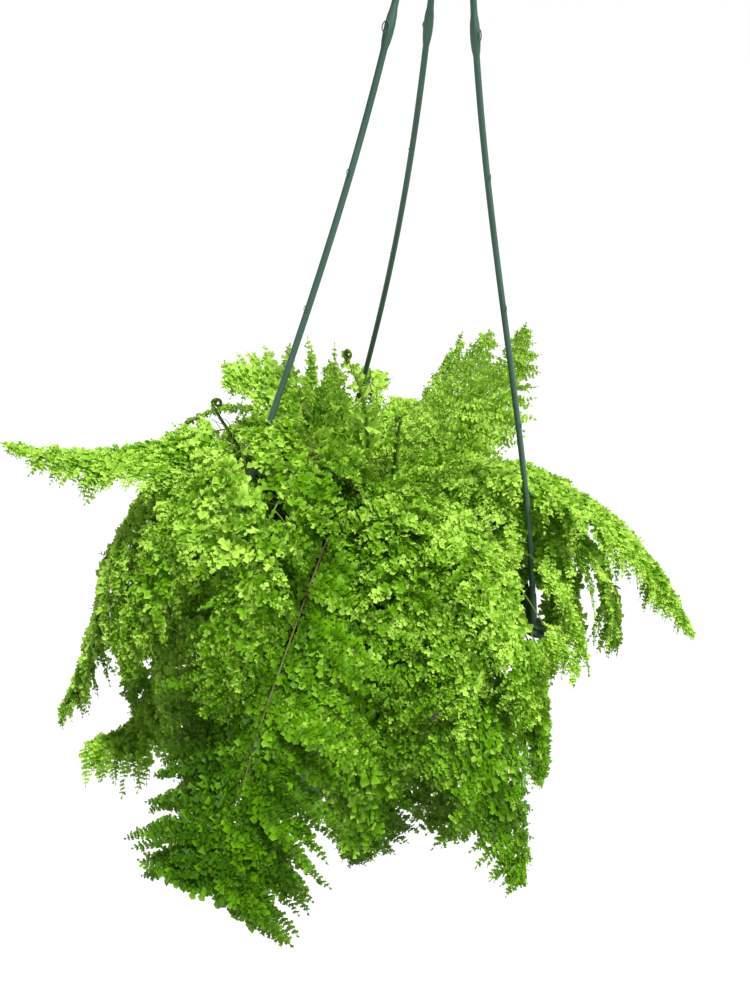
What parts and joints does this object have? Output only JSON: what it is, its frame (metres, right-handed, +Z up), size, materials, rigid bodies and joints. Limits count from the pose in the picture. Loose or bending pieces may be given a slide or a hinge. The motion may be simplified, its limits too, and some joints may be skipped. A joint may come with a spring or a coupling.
{
  "type": "potted cotton candy fern in a hanging pot",
  "caption": "Hanging plastic pot filled by a dense mound of ruffled, arching fern fronds, on a moulded three-arm hanger with a hook.",
  "frame": {"origin": "the point under the crown of the hook where it bears on whatever it hangs from", "axes": "+Z up along the hanger, -Y towards the camera of the picture, +X to its right"},
  "size_m": [0.467, 0.421, 0.6511],
  "materials": {
    "pot_plastic": "moulded, satin",
    "hanger_plastic": "moulded, slightly glossy",
    "potting_soil": "crumbly peat and bark mix",
    "leaf_mid": "satin mature leaf",
    "leaf_light": "satin fresh leaf",
    "leaf_young": "soft unfurling leaf"
  },
  "bodies": {
    "root": {"frond_0_00": "leaf_mid", "frond_0_01": "leaf_mid", "frond_0_02": "leaf_mid", "frond_0_03": "leaf_mid", "frond_0_04": "leaf_mid", "frond_0_05": "leaf_mid", "frond_1_00": "leaf_light", "frond_1_01": "leaf_light", "frond_1_02": "leaf_light", "frond_1_03": "leaf_light", "frond_1_04": "leaf_light", "frond_1_05": "leaf_light", "frond_2_00": "leaf_mid", "frond_2_01": "leaf_mid", "frond_2_02": "leaf_mid", "frond_2_03": "leaf_mid", "frond_2_04": "leaf_mid", "frond_2_05": "leaf_mid", "frond_3_00": "leaf_light", "frond_3_01": "leaf_light", "frond_3_02": "leaf_light", "frond_3_03": "leaf_light", "frond_3_04": "leaf_light", "frond_3_05": "leaf_light", "frond_3_07": "leaf_light", "frond_3_08": "leaf_light", "frond_4_00": "leaf_mid", "frond_4_02": "leaf_mid", "frond_4_03": "leaf_mid", "frond_4_04": "leaf_mid", "frond_4_06": "leaf_mid", "frond_4_08": "leaf_mid", "frond_back": "leaf_mid", "frond_back_right_a": "leaf_light", "frond_back_right_b": "leaf_light", "frond_back_right_c": "leaf_light", "frond_crown_back": "leaf_mid", "frond_crown_front": "leaf_mid", "frond_crown_left": "leaf_mid", "frond_crown_right": "leaf_mid", "frond_curled": "leaf_young", "frond_fiddlehead": "leaf_young", "frond_front_high": "leaf_light", "frond_front_left": "leaf_mid", "frond_front_right": "leaf_mid", "frond_furled": "leaf_young", "frond_left": "leaf_light", "frond_left_high": "leaf_light", "frond_low_left": "leaf_mid", "frond_right": "leaf_mid", "frond_rim_right": "leaf_mid", "frond_skirt_front": "leaf_mid", "frond_skirt_left": "leaf_mid", "frond_top_left": "leaf_light", "frond_top_upright": "leaf_light", "frond_young": "leaf_young", "hanger": "hanger_plastic", "pot": "pot_plastic", "soil": "potting_soil"}
  },
  "joints": []
}
